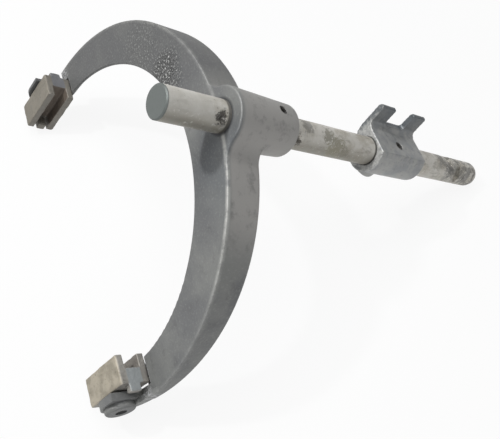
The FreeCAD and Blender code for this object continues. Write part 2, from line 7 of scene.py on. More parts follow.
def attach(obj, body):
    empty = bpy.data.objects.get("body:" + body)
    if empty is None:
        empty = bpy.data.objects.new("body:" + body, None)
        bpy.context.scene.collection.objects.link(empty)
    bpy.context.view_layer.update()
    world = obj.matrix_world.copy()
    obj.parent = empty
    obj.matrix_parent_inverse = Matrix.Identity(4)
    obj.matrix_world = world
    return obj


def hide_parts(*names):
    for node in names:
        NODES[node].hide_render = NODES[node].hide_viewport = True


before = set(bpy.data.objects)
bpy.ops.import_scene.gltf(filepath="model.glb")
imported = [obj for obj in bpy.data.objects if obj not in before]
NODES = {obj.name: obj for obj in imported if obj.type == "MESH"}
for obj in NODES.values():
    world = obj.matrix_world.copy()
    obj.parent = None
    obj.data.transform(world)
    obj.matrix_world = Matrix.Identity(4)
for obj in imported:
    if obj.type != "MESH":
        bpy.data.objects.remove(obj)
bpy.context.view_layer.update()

# Gear shift fork on its sliding rod, lying as it comes to rest on a pale floor.
# Patterns are placed in the drawing frame of the fork, in millimetres: X along the rod from
# the fork's front face, Y towards the fork's open side, Z towards the upper shoe.

# Rest pose of the drawing frame: a turn about the row's Y axis and a shift
REST_TILT = math.radians(30.528)
REST_SHIFT = Vector((-0.069416, -0.0205, 0.147848))
DRAWING_TURN = Matrix.Rotation(REST_TILT, 3, "Y") @ Matrix.Rotation(math.radians(-90), 3, "X")
MM = 0.001

# Outer circle of the arch, as in the drawing
ARCH_MIDDLE = 19.6
ARCH_OUTER_RADIUS = 135.5
ARCH_OUTER_CENTRE = (0, 134.7, 21.1)

# Places along the rod and around it, and the painted highlight on the edge of the hub's front
ROD_RADIUS = 10
ROD_FRONT_END = -44.5
BRACKET_FRONT = 135
HUB_HIGHLIGHT_RADIUS = 18.2

# Places on the arm ends and the shoes; a slot's floor is measured from the arch's middle
ARM_END = 137.5
SHOE_NEAR_END = 131.5
SHOE_FRONT = -19.5
SLOT_MIDDLE = -9
SLOT_HALF_WIDTH = 5.2
SLOT_FLOOR = 114.5
SLOT_STOP = 166

# Camera of the photograph, in the drawing frame
CAMERA_PLACE = (-240.1, -201.4, -219.1)
CAMERA_RIGHT = (0.7293, -0.6038, -0.3216)
CAMERA_DOWN = (0.0731, 0.5361, -0.8410)
CAMERA_FORWARD = (0.6802, 0.5898, 0.4352)
CAMERA_LENS = 47.66
CAMERA_SENSOR = 36

# Pieces with worn edges: CAD node, body, material slot, grid, smoothing passes and dents.
# Grid and dents are in millimetres, as are the wear that counts as full, the distance
# between dents and the distance below which points are one
WORN_PIECES = [
    ("lower_shoe", "lower_shoe_body", "worn_shoe", 0.35, 24, 0.7),
    ("upper_shoe", "upper_shoe_body", "worn_shoe", 0.35, 20, 0.7),
    ("selector_bracket", "fork_and_rod", "machined_bracket", 0.45, 6, 0.3),
]
FULL_WEAR = 0.3
DENT_SPREAD = 6
SAME_POINT = 0.001

# Lamps of the studio: name, the way the light travels in the row's frame, size and watts
LAMPS = [
    ("key_lamp", (0.56, -0.28, -0.783), 0.07, 6.3),
    ("top_lamp", (0.12, -0.25, -0.95), 0.9, 9.0),
    ("fill_lamp", (0.1, 0.9, -0.5), 0.8, 3.0),
]
LAMP_DISTANCE = 1.1
LIT_PLACE = (20, 70, 20)
ROOM_LIGHT = 0.27

# Floor, in metres: its side, how far it lies below the object, and the share of it that
# looks plain white under the object, which grows to all of it further out
FLOOR_SIDE = 12
FLOOR_DROP = 0.0005
WHITE_SHARE = 0.9
WHITE_GROWS_FROM = 0.25
ALL_WHITE_FROM = 0.7

# Pitted places on the fork's front face: centre, reach and share
PITTED_PLACES = [
    ((0, 29, 61), 19, 1.0),
    ((0, 24, 50), 12, 0.6),
    ((0, 44, 94), 26, 0.25),
]

# Middle of the painted light on hub and root, and of the painted shade in front of them
PAINTED_LIGHT_CENTRE = (17, 1, -26)
PAINTED_SHADE_CENTRE = (-6, 6, -26)

# Stains and dark patches on the rod: centre, reach, colour and share
ROD_STAINS = [
    ((84, -9.2, -4), 6, "#7b7869", 0.7),
    ((93, -3.5, -9), 9, "#85816f", 0.75),
    ((103, -2, -10), 5, "#7b786b", 0.6),
    ((65, -9.6, 0), 6, "#6f6e6b", 0.6),
    ((-6.5, -6.5, -7.5), 4.6, "#3d3a36", 0.9),
    ((57, -4, -9.2), 4.2, "#57534c", 0.85),
    ((222, -9.5, 0.5), 7, "#6d6c69", 0.7),
    ((236, -7, -6), 8, "#5d5c5a", 0.65),
    ((247, -7, -6), 6, "#83817b", 0.6),
]

# Dark rings on the rod: middle, half width and share
ROD_DARK_RINGS = [
    (-0.6, 2.2, 0.75),
    (134.6, 1.4, 0.85),
]

# Way that the flank of the rod with painted shade faces, divided by the rod's radius
SHADED_FLANK_SIDE = (0, 0.054, -0.084)


def in_row(point):
    """A point of the drawing, in millimetres, as a place in the row's frame."""
    return DRAWING_TURN @ (Vector(point) * MM) + REST_SHIFT


def colour(code):
    """sRGB hex code as linear red, green, blue and alpha."""
    parts = [int(code[start:start + 2], 16) / 255 for start in (1, 3, 5)]
    linear = [part / 12.92 if part <= 0.04045 else ((part + 0.055) / 1.055) ** 2.4
              for part in parts]
    return (*linear, 1.0)


def add_node(tree, kind, settings=None, links=None, output=0):
    """Add one shader node with its settings and links, and return one of its outputs."""
    node = tree.nodes.new(kind)
    for name, value in (settings or {}).items():
        if isinstance(name, int) or name in node.inputs:
            node.inputs[name].default_value = value
        else:
            setattr(node, name, value)
    for name, source in (links or {}).items():
        tree.links.new(source, node.inputs[name])
    return node.outputs[output] if len(node.outputs) else None


def start_material(name):
    """Start a material whose patterns lie in the drawing frame, in millimetres.

    Returns the material, its node tree, the place in the drawing and that place's three
    coordinates.
    """
    material = bpy.data.materials.new(name)
    material.use_nodes = True
    tree = material.node_tree
    tree.nodes.clear()
    here = add_node(tree, "ShaderNodeTexCoord", output="Object")
    place = add_node(tree, "ShaderNodeMapping",
                     {"vector_type": "TEXTURE", "Location": REST_SHIFT,
                      "Rotation": (math.radians(-90), REST_TILT, 0), "Scale": (MM, MM, MM)},
                     {"Vector": here})
    axes = [add_node(tree, "ShaderNodeSeparateXYZ", {}, {"Vector": place}, axis)
            for axis in ("X", "Y", "Z")]
    return material, tree, place, *axes


def finish_material(material, tree, settings, links):
    """Join the finished patterns to the surface."""
    surface = add_node(tree, "ShaderNodeBsdfPrincipled", settings, links)
    add_node(tree, "ShaderNodeOutputMaterial", {}, {"Surface": surface})
    return material


def forged_steel():
    """Drop-forged alloy steel, shot blasted: dull grey, fine speckle, one pitted patch."""
    material, tree, place, along, across, up = start_material(
        "alloy_steel_drop_forged_and_shot_blasted")

    # Blasted skin: broad, soft changes between two greys
    clouds = add_node(tree, "ShaderNodeTexNoise",
                      {"Scale": 1 / 30, "Detail": 5, "Roughness": 0.55}, {"Vector": place})
    cloudy = add_node(tree, "ShaderNodeMapRange",
                      {"interpolation_type": "SMOOTHSTEP", "From Min": 0.36, "From Max": 0.64},
                      {"Value": clouds})
    skin = add_node(tree, "ShaderNodeMix",
                    {"data_type": "RGBA", 6: colour("#6d6e6f"), 7: colour("#7e7f7d")},
                    {0: cloudy}, 2)

    # Upper arm darker, growing darker towards its end
    overlay_tone = add_node(tree, "ShaderNodeMapRange",
                    {"interpolation_type": "SMOOTHSTEP", "From Min": 5, "From Max": 80,
                     "To Max": 0.62}, {"Value": up})
    skin = add_node(tree, "ShaderNodeMix", {"data_type": "RGBA", 7: colour("#5b5b5b")},
                    {0: overlay_tone, 6: skin}, 2)

    # Painted shade: darker blue-grey on the front face of the lower arm, next to the hub
    shade_reach = add_node(tree, "ShaderNodeVectorMath",
                          {"operation": "DISTANCE", 1: PAINTED_SHADE_CENTRE}, {0: place},
                          "Value")
    painted_shade = add_node(tree, "ShaderNodeMapRange",
                    {"interpolation_type": "SMOOTHSTEP", "From Min": 44, "From Max": 12,
                     "To Max": 0.65}, {"Value": shade_reach})
    skin = add_node(tree, "ShaderNodeMix", {"data_type": "RGBA", 7: colour("#606468")},
                    {0: painted_shade, 6: skin}, 2)

    # Painted light: hub and root paler and warmer, with ragged edges, but not on the front
    # face
    light_reach = add_node(tree, "ShaderNodeVectorMath",
                           {"operation": "DISTANCE", 1: PAINTED_LIGHT_CENTRE}, {0: place}, "Value")
    ragged = add_node(tree, "ShaderNodeMath", {"operation": "MULTIPLY", 1: 30}, {0: clouds})
    light_reach = add_node(tree, "ShaderNodeMath", {"operation": "ADD"},
                           {0: light_reach, 1: ragged})
    painted_light = add_node(tree, "ShaderNodeMapRange",
                     {"interpolation_type": "SMOOTHSTEP", "From Min": 88, "From Max": 46,
                      "To Max": 0.95}, {"Value": light_reach})
    behind_face = add_node(tree, "ShaderNodeMapRange",
                           {"interpolation_type": "SMOOTHSTEP", "From Min": 0.5,
                            "From Max": 4}, {"Value": along})
    painted_light = add_node(tree, "ShaderNodeMath", {"operation": "MULTIPLY"},
                     {0: painted_light, 1: behind_face})
    skin = add_node(tree, "ShaderNodeMix", {"data_type": "RGBA", 7: colour("#9f9d9a")},
                    {0: painted_light, 6: skin}, 2)

    # Handling grease: darker smudges about a fingertip wide
    smudges = add_node(tree, "ShaderNodeTexNoise",
                       {"Scale": 1 / 8, "Detail": 6, "Roughness": 0.65}, {"Vector": place})
    smudged = add_node(tree, "ShaderNodeMapRange",
                       {"interpolation_type": "SMOOTHSTEP", "From Min": 0.5,
                        "From Max": 0.74, "To Max": 0.5}, {"Value": smudges})
    skin = add_node(tree, "ShaderNodeMix", {"data_type": "RGBA", 7: colour("#5d5d5d")},
                    {0: smudged, 6: skin}, 2)

    # Blast marks: a fine lighter speckle
    speckle = add_node(tree, "ShaderNodeTexNoise",
                       {"Scale": 1 / 1.5, "Detail": 3, "Roughness": 0.7}, {"Vector": place})
    speckled = add_node(tree, "ShaderNodeMapRange",
                        {"interpolation_type": "SMOOTHSTEP", "From Min": 0.5,
                         "From Max": 0.72, "To Max": 0.35}, {"Value": speckle})
    skin = add_node(tree, "ShaderNodeMix", {"data_type": "RGBA", 7: colour("#999a96")},
                    {0: speckled, 6: skin}, 2)

    # Pitted patch on the front of the upper arm beside the hub, and its thin outskirts
    rough = None
    for centre, reach, share in PITTED_PLACES:
        away = add_node(tree, "ShaderNodeVectorMath", {"operation": "DISTANCE", 1: centre},
                        {0: place}, "Value")
        away = add_node(tree, "ShaderNodeMapRange",
                        {"interpolation_type": "SMOOTHSTEP", "From Min": reach,
                         "From Max": reach * 0.4, "To Max": share}, {"Value": away})
        if rough is None:
            rough = away
        else:
            rough = add_node(tree, "ShaderNodeMath", {"operation": "MAXIMUM"},
                             {0: rough, 1: away})
    pits = add_node(tree, "ShaderNodeTexNoise",
                    {"Scale": 1 / 1.5, "Detail": 3, "Roughness": 0.7}, {"Vector": place})
    pit = add_node(tree, "ShaderNodeMapRange",
                   {"interpolation_type": "SMOOTHSTEP", "From Min": 0.56, "From Max": 0.45,
                    "To Max": 0.9}, {"Value": pits})
    dark_pit = add_node(tree, "ShaderNodeMath", {"operation": "MULTIPLY"}, {0: rough, 1: pit})
    skin = add_node(tree, "ShaderNodeMix", {"data_type": "RGBA", 7: colour("#40403f")},
                    {0: dark_pit, 6: skin}, 2)
    lip = add_node(tree, "ShaderNodeMapRange",
                   {"interpolation_type": "SMOOTHSTEP", "From Min": 0.58, "From Max": 0.64},
                   {"Value": pits})
    bright_lip = add_node(tree, "ShaderNodeMath", {"operation": "MULTIPLY"},
                          {0: rough, 1: lip})
    skin = add_node(tree, "ShaderNodeMix", {"data_type": "RGBA", 7: colour("#c9c9c6")},
                    {0: bright_lip, 6: skin}, 2)

    # Outer rim of the front face: paler worn edge and painted highlight, broken, and faint
    # towards both arm ends
    rim_reach = add_node(tree, "ShaderNodeVectorMath",
                         {"operation": "MULTIPLY", 1: (0, 1, 1)}, {0: place})
    rim_reach = add_node(tree, "ShaderNodeVectorMath",
                         {"operation": "DISTANCE", 1: ARCH_OUTER_CENTRE}, {0: rim_reach},
                         "Value")
    off_rim = add_node(tree, "ShaderNodeMath",
                       {"operation": "SUBTRACT", 1: ARCH_OUTER_RADIUS - 0.3}, {0: rim_reach})
    off_rim = add_node(tree, "ShaderNodeMath", {"operation": "ABSOLUTE"}, {0: off_rim})
    rim = add_node(tree, "ShaderNodeMapRange",
                   {"interpolation_type": "SMOOTHSTEP", "From Min": 2.4, "From Max": 0.2},
                   {"Value": off_rim})
    rim_depth = add_node(tree, "ShaderNodeMapRange",
                         {"interpolation_type": "SMOOTHSTEP", "From Min": 3.4,
                          "From Max": 0.4}, {"Value": along})
    rim = add_node(tree, "ShaderNodeMath", {"operation": "MULTIPLY"}, {0: rim, 1: rim_depth})
    wear = add_node(tree, "ShaderNodeTexNoise",
                    {"Scale": 1 / 7, "Detail": 5, "Roughness": 0.7}, {"Vector": place})
    worn = add_node(tree, "ShaderNodeMapRange",
                    {"interpolation_type": "SMOOTHSTEP", "From Min": 0.36, "From Max": 0.6,
                     "To Min": 0.3}, {"Value": wear})
    rim = add_node(tree, "ShaderNodeMath", {"operation": "MULTIPLY"}, {0: rim, 1: worn})
    faint = add_node(tree, "ShaderNodeMapRange",
                     {"From Min": -20, "From Max": 25, "To Min": 0.95, "To Max": 0.3},
                     {"Value": up})
    rim = add_node(tree, "ShaderNodeMath", {"operation": "MULTIPLY"}, {0: rim, 1: faint})
    faint_low = add_node(tree, "ShaderNodeMapRange",
                         {"From Min": -55, "From Max": -95, "To Min": 1, "To Max": 0.2},
                         {"Value": up})
    rim = add_node(tree, "ShaderNodeMath", {"operation": "MULTIPLY"},
                   {0: rim, 1: faint_low})
    skin = add_node(tree, "ShaderNodeMix", {"data_type": "RGBA", 7: colour("#b6b6b2")},
                    {0: rim, 6: skin}, 2)

    # Painted highlight on the edge around the hub's front, only on the side away from the
    # arch, and dark dirt where the rod leaves it
    axis_reach = add_node(tree, "ShaderNodeVectorMath",
                          {"operation": "MULTIPLY", 1: (0, 1, 1)}, {0: place})
    axis_reach = add_node(tree, "ShaderNodeVectorMath", {"operation": "LENGTH"},
                          {0: axis_reach}, "Value")
    hub_highlight = add_node(tree, "ShaderNodeMath", {"operation": "SUBTRACT", 1: HUB_HIGHLIGHT_RADIUS},
                        {0: axis_reach})
    hub_highlight = add_node(tree, "ShaderNodeMath", {"operation": "ABSOLUTE"}, {0: hub_highlight})
    hub_highlight = add_node(tree, "ShaderNodeMapRange",
                        {"interpolation_type": "SMOOTHSTEP", "From Min": 1.6,
                         "From Max": 0.2, "To Max": 0.25}, {"Value": hub_highlight})
    hub_depth = add_node(tree, "ShaderNodeMapRange", {"From Min": 3.5, "From Max": 1.5},
                         {"Value": along})
    hub_highlight = add_node(tree, "ShaderNodeMath", {"operation": "MULTIPLY"},
                        {0: hub_highlight, 1: hub_depth})
    outside = add_node(tree, "ShaderNodeMapRange", {"From Min": -4, "From Max": -15},
                       {"Value": across})
    hub_highlight = add_node(tree, "ShaderNodeMath", {"operation": "MULTIPLY"},
                        {0: hub_highlight, 1: outside})
    skin = add_node(tree, "ShaderNodeMix", {"data_type": "RGBA", 7: colour("#a9a9a6")},
                    {0: hub_highlight, 6: skin}, 2)
    seam = add_node(tree, "ShaderNodeMapRange",
                    {"interpolation_type": "SMOOTHSTEP", "From Min": ROD_RADIUS + 2.4,
                     "From Max": ROD_RADIUS + 0.4, "To Max": 0.8}, {"Value": axis_reach})
    skin = add_node(tree, "ShaderNodeMix", {"data_type": "RGBA", 7: colour("#3d3e40")},
                    {0: seam, 6: skin}, 2)

    # Pale crust on both arms' ends, beside the shoes
    crust = add_node(tree, "ShaderNodeMapRange",
                     {"interpolation_type": "SMOOTHSTEP", "From Min": ARM_END - 9.5,
                      "From Max": ARM_END - 5.5}, {"Value": across})
    near_end = add_node(tree, "ShaderNodeMapRange",
                        {"From Min": ARM_END + 1.5, "From Max": ARM_END - 0.1},
                        {"Value": across})
    crust = add_node(tree, "ShaderNodeMath", {"operation": "MULTIPLY"},
                     {0: crust, 1: near_end})
    flakes = add_node(tree, "ShaderNodeMapRange",
                      {"interpolation_type": "SMOOTHSTEP", "From Min": 0.46,
                       "From Max": 0.56, "To Max": 0.8}, {"Value": pits})
    crust = add_node(tree, "ShaderNodeMath", {"operation": "MULTIPLY"},
                     {0: crust, 1: flakes})
    skin = add_node(tree, "ShaderNodeMix", {"data_type": "RGBA", 7: colour("#b3b3b4")},
                    {0: crust, 6: skin}, 2)

    # Relief: blasting grit, the hammered waviness under it and the deep pits of the patch.
    # Real grit leaves marks of half a millimetre, drawn here as coarse as they need to show
    grit = add_node(tree, "ShaderNodeTexNoise", {"Scale": 1 / 0.9, "Detail": 2},
                    {"Vector": place})
    normal = add_node(tree, "ShaderNodeBump", {"Strength": 0.3, "Distance": 0.12 * MM},
                      {"Height": grit})
    normal = add_node(tree, "ShaderNodeBump", {"Strength": 0.3, "Distance": 0.6 * MM},
                      {"Height": smudges, "Normal": normal})
    deep = add_node(tree, "ShaderNodeMath", {"operation": "MULTIPLY"}, {0: rough, 1: pits})
    normal = add_node(tree, "ShaderNodeBump", {"Strength": 0.8, "Distance": 0.8 * MM},
                      {"Height": deep, "Normal": normal})
    dullness = add_node(tree, "ShaderNodeMapRange", {"To Min": 0.52, "To Max": 0.64},
                        {"Value": clouds})
    return finish_material(material, tree, {"Metallic": 0.4},
                           {"Base Color": skin, "Roughness": dullness, "Normal": normal})


def ground_steel():
    """Hardened bar ground between centres: pale satin grey, mottled by old oil and dirt."""
    material, tree, place, along, *_ = start_material("hardened_steel_bar_ground_and_stained")

    # Ground skin, mottled between a cool and a warm grey
    clouds = add_node(tree, "ShaderNodeTexNoise",
                      {"Scale": 1 / 13, "Detail": 5, "Roughness": 0.6}, {"Vector": place})
    cloudy = add_node(tree, "ShaderNodeMapRange",
                      {"interpolation_type": "SMOOTHSTEP", "From Min": 0.38, "From Max": 0.6},
                      {"Value": clouds})
    skin = add_node(tree, "ShaderNodeMix",
                    {"data_type": "RGBA", 6: colour("#b4afa4"), 7: colour("#cbc8c1")},
                    {0: cloudy}, 2)

    # Oil stains drawn out along the bar
    drawn_out = add_node(tree, "ShaderNodeMapping", {"Scale": (0.4, 1, 1)},
                         {"Vector": place})
    stains = add_node(tree, "ShaderNodeTexNoise",
                      {"Scale": 1 / 5, "Detail": 6, "Roughness": 0.65}, {"Vector": drawn_out})
    stained = add_node(tree, "ShaderNodeMapRange",
                       {"interpolation_type": "SMOOTHSTEP", "From Min": 0.52,
                        "From Max": 0.64, "To Max": 0.55}, {"Value": stains})
    skin = add_node(tree, "ShaderNodeMix", {"data_type": "RGBA", 7: colour("#8c877d")},
                    {0: stained, 6: skin}, 2)

    # Front end rubbed clean and pale
    stub = add_node(tree, "ShaderNodeMapRange",
                    {"interpolation_type": "SMOOTHSTEP", "From Min": -4, "From Max": -16,
                     "To Max": 0.6}, {"Value": along})
    skin = add_node(tree, "ShaderNodeMix", {"data_type": "RGBA", 7: colour("#c9c7c1")},
                    {0: stub, 6: skin}, 2)

    # Painted shade: browner lower flank of the rod, as far as the bracket
    flank_shade = add_node(tree, "ShaderNodeVectorMath",
                     {"operation": "DOT_PRODUCT", 1: SHADED_FLANK_SIDE}, {0: place}, "Value")
    flank_shade = add_node(tree, "ShaderNodeMapRange",
                     {"interpolation_type": "SMOOTHSTEP", "From Min": 0.1, "From Max": 0.9,
                      "To Max": 0.75}, {"Value": flank_shade})
    run_out = add_node(tree, "ShaderNodeMapRange",
                       {"interpolation_type": "SMOOTHSTEP", "From Min": 200,
                        "From Max": 170, "To Min": 0.2}, {"Value": along})
    flank_shade = add_node(tree, "ShaderNodeMath", {"operation": "MULTIPLY"},
                     {0: flank_shade, 1: run_out})
    skin = add_node(tree, "ShaderNodeMix", {"data_type": "RGBA", 7: colour("#7a766b")},
                    {0: flank_shade, 6: skin}, 2)

    # Far end marbled dark by dirty oil
    marble = add_node(tree, "ShaderNodeTexNoise",
                      {"Scale": 1 / 9, "Detail": 5, "Roughness": 0.6, "Distortion": 1.5},
                      {"Vector": place})
    marbled = add_node(tree, "ShaderNodeMapRange",
                       {"interpolation_type": "SMOOTHSTEP", "From Min": 0.48,
                        "From Max": 0.56, "To Max": 0.65}, {"Value": marble})
    far_end = add_node(tree, "ShaderNodeMapRange",
                       {"interpolation_type": "SMOOTHSTEP", "From Min": 224,
                        "From Max": 236}, {"Value": along})
    marbled = add_node(tree, "ShaderNodeMath", {"operation": "MULTIPLY"},
                       {0: marbled, 1: far_end})
    skin = add_node(tree, "ShaderNodeMix", {"data_type": "RGBA", 7: colour("#5f5e5c")},
                    {0: marbled, 6: skin}, 2)

    # Single stains with ragged edges, and dark patches in the dimples and notches
    flecks = add_node(tree, "ShaderNodeTexNoise",
                      {"Scale": 1 / 3, "Detail": 6, "Roughness": 0.75}, {"Vector": place})
    ragged = add_node(tree, "ShaderNodeMath", {"operation": "SUBTRACT", 0: 0.5},
                      {1: flecks})
    for centre, reach, tone, share in ROD_STAINS:
        away = add_node(tree, "ShaderNodeVectorMath", {"operation": "DISTANCE", 1: centre},
                        {0: place}, "Value")
        away = add_node(tree, "ShaderNodeMath",
                        {"operation": "MULTIPLY_ADD", 1: reach * 4},
                        {0: ragged, 2: away})
        stain = add_node(tree, "ShaderNodeMapRange",
                         {"interpolation_type": "SMOOTHSTEP", "From Min": reach,
                          "From Max": reach * 0.7, "To Max": share}, {"Value": away})
        skin = add_node(tree, "ShaderNodeMix", {"data_type": "RGBA", 7: colour(tone)},
                        {0: stain, 6: skin}, 2)

    # Small bright scuffs and dark flecks
    scuffed = add_node(tree, "ShaderNodeMapRange",
                       {"interpolation_type": "SMOOTHSTEP", "From Min": 0.57,
                        "From Max": 0.64, "To Max": 0.6}, {"Value": flecks})
    skin = add_node(tree, "ShaderNodeMix", {"data_type": "RGBA", 7: colour("#d3d1cb")},
                    {0: scuffed, 6: skin}, 2)
    flecked = add_node(tree, "ShaderNodeMapRange",
                       {"interpolation_type": "SMOOTHSTEP", "From Min": 0.37,
                        "From Max": 0.31, "To Max": 0.65}, {"Value": flecks})
    skin = add_node(tree, "ShaderNodeMix", {"data_type": "RGBA", 7: colour("#5f5b54")},
                    {0: flecked, 6: skin}, 2)

    # Dark ring where the bar enters the fork and the bracket
    for middle, half_width, share in ROD_DARK_RINGS:
        away = add_node(tree, "ShaderNodeMath", {"operation": "SUBTRACT", 1: middle},
                        {0: along})
        away = add_node(tree, "ShaderNodeMath", {"operation": "ABSOLUTE"}, {0: away})
        ring = add_node(tree, "ShaderNodeMapRange",
                        {"interpolation_type": "SMOOTHSTEP", "From Min": half_width,
                         "From Max": half_width * 0.4, "To Max": share}, {"Value": away})
        skin = add_node(tree, "ShaderNodeMix", {"data_type": "RGBA", 7: colour("#3f3e3c")},
                        {0: ring, 6: skin}, 2)

    # Dull blue-grey skin on the sawn front end
    end_face = add_node(tree, "ShaderNodeMapRange",
                        {"From Min": ROD_FRONT_END + 1.6, "From Max": ROD_FRONT_END + 1},
                        {"Value": along})
    skin = add_node(tree, "ShaderNodeMix", {"data_type": "RGBA", 7: colour("#686d6b")},
                    {0: end_face, 6: skin}, 2)

    # Grinding lines around the bar, and a finish that is duller where it is stained. Real
    # lines are a tenth of a millimetre apart, too fine to show, and are drawn coarser
    lines = add_node(tree, "ShaderNodeMapping", {"Scale": (1, 0.05, 0.05)},
                     {"Vector": place})
    lines = add_node(tree, "ShaderNodeTexNoise", {"Scale": 1 / 0.5, "Detail": 2},
                     {"Vector": lines})
    normal = add_node(tree, "ShaderNodeBump", {"Strength": 0.12, "Distance": 0.04 * MM},
                      {"Height": lines})
    normal = add_node(tree, "ShaderNodeBump", {"Strength": 0.25, "Distance": 0.25 * MM},
                      {"Height": stains, "Normal": normal})
    dullness = add_node(tree, "ShaderNodeMapRange", {"To Min": 0.42, "To Max": 0.62},
                        {"Value": stains})
    return finish_material(material, tree, {"Metallic": 0.4},
                           {"Base Color": skin, "Roughness": dullness, "Normal": normal})


def machined_casting():
    """Cast steel bracket, milled all over and handled: bluish grey with bright worn edges."""
    material, tree, place, along, _, up = start_material("cast_steel_milled_and_handled")

    # Milled skin in two bluish greys
    clouds = add_node(tree, "ShaderNodeTexNoise",
                      {"Scale": 1 / 12, "Detail": 5, "Roughness": 0.6}, {"Vector": place})
    cloudy = add_node(tree, "ShaderNodeMapRange",
                      {"interpolation_type": "SMOOTHSTEP", "From Min": 0.38, "From Max": 0.6},
                      {"Value": clouds})
    skin = add_node(tree, "ShaderNodeMix",
                    {"data_type": "RGBA", 6: colour("#8b8d8e"), 7: colour("#9f9f9d")},
                    {0: cloudy}, 2)

    # Dark oil in the hollows of the skin
    oil = add_node(tree, "ShaderNodeTexNoise",
                   {"Scale": 1 / 4, "Detail": 5, "Roughness": 0.65}, {"Vector": place})
    oiled = add_node(tree, "ShaderNodeMapRange",
                     {"interpolation_type": "SMOOTHSTEP", "From Min": 0.53, "From Max": 0.68,
                      "To Max": 0.35}, {"Value": oil})
    skin = add_node(tree, "ShaderNodeMix", {"data_type": "RGBA", 7: colour("#55585b")},
                    {0: oiled, 6: skin}, 2)

    # Darker oil film on the forked plate
    plate = add_node(tree, "ShaderNodeMapRange",
                     {"interpolation_type": "SMOOTHSTEP", "From Min": 13, "From Max": 18,
                      "To Max": 0.8}, {"Value": up})
    skin = add_node(tree, "ShaderNodeMix", {"data_type": "RGBA", 7: colour("#50565b")},
                    {0: plate, 6: skin}, 2)

    # Front end and its edges, bruised bright by blows
    front = add_node(tree, "ShaderNodeMapRange",
                     {"interpolation_type": "SMOOTHSTEP", "From Min": BRACKET_FRONT + 1.6,
                      "From Max": BRACKET_FRONT + 0.3}, {"Value": along})
    bruises = add_node(tree, "ShaderNodeTexNoise",
                       {"Scale": 1 / 2.4, "Detail": 4, "Roughness": 0.7}, {"Vector": place})
    bruised = add_node(tree, "ShaderNodeMapRange",
                       {"From Min": 0.42, "From Max": 0.58, "To Max": 0.9},
                       {"Value": bruises})
    bruised = add_node(tree, "ShaderNodeMath", {"operation": "MULTIPLY"},
                       {0: front, 1: bruised})
    below_plate = add_node(tree, "ShaderNodeMapRange",
                           {"From Min": 19, "From Max": 14, "To Min": 0.2}, {"Value": up})
    bruised = add_node(tree, "ShaderNodeMath", {"operation": "MULTIPLY"},
                       {0: bruised, 1: below_plate})
    skin = add_node(tree, "ShaderNodeMix", {"data_type": "RGBA", 7: colour("#b9b9b6")},
                    {0: bruised, 6: skin}, 2)

    # Outer edges rubbed bright, inner corners filled with dirt
    edges = add_node(tree, "ShaderNodeAttribute", {"attribute_name": "edge_wear"},
                     output="Fac")
    bright_edge = add_node(tree, "ShaderNodeMapRange",
                           {"interpolation_type": "SMOOTHSTEP", "From Min": 0.15,
                            "From Max": 1.0, "To Max": 0.6}, {"Value": edges})
    skin = add_node(tree, "ShaderNodeMix", {"data_type": "RGBA", 7: colour("#c4c4c0")},
                    {0: bright_edge, 6: skin}, 2)
    dark_corner = add_node(tree, "ShaderNodeMapRange",
                           {"interpolation_type": "SMOOTHSTEP", "From Min": -0.1,
                            "From Max": -0.9, "To Max": 0.8}, {"Value": edges})
    skin = add_node(tree, "ShaderNodeMix", {"data_type": "RGBA", 7: colour("#3b3936")},
                    {0: dark_corner, 6: skin}, 2)

    # Relief: the cast grain under the milling, and the hollows that hold the oil
    grain = add_node(tree, "ShaderNodeTexNoise", {"Scale": 1 / 1.1, "Detail": 3},
                     {"Vector": place})
    normal = add_node(tree, "ShaderNodeBump", {"Strength": 0.3, "Distance": 0.15 * MM},
                      {"Height": grain})
    normal = add_node(tree, "ShaderNodeBump", {"Strength": 0.4, "Distance": 0.4 * MM},
                      {"Height": oil, "Normal": normal})
    dullness = add_node(tree, "ShaderNodeMapRange", {"To Min": 0.4, "To Max": 0.56},
                        {"Value": clouds})
    return finish_material(material, tree, {"Metallic": 0.45},
                           {"Base Color": skin, "Roughness": dullness, "Normal": normal})


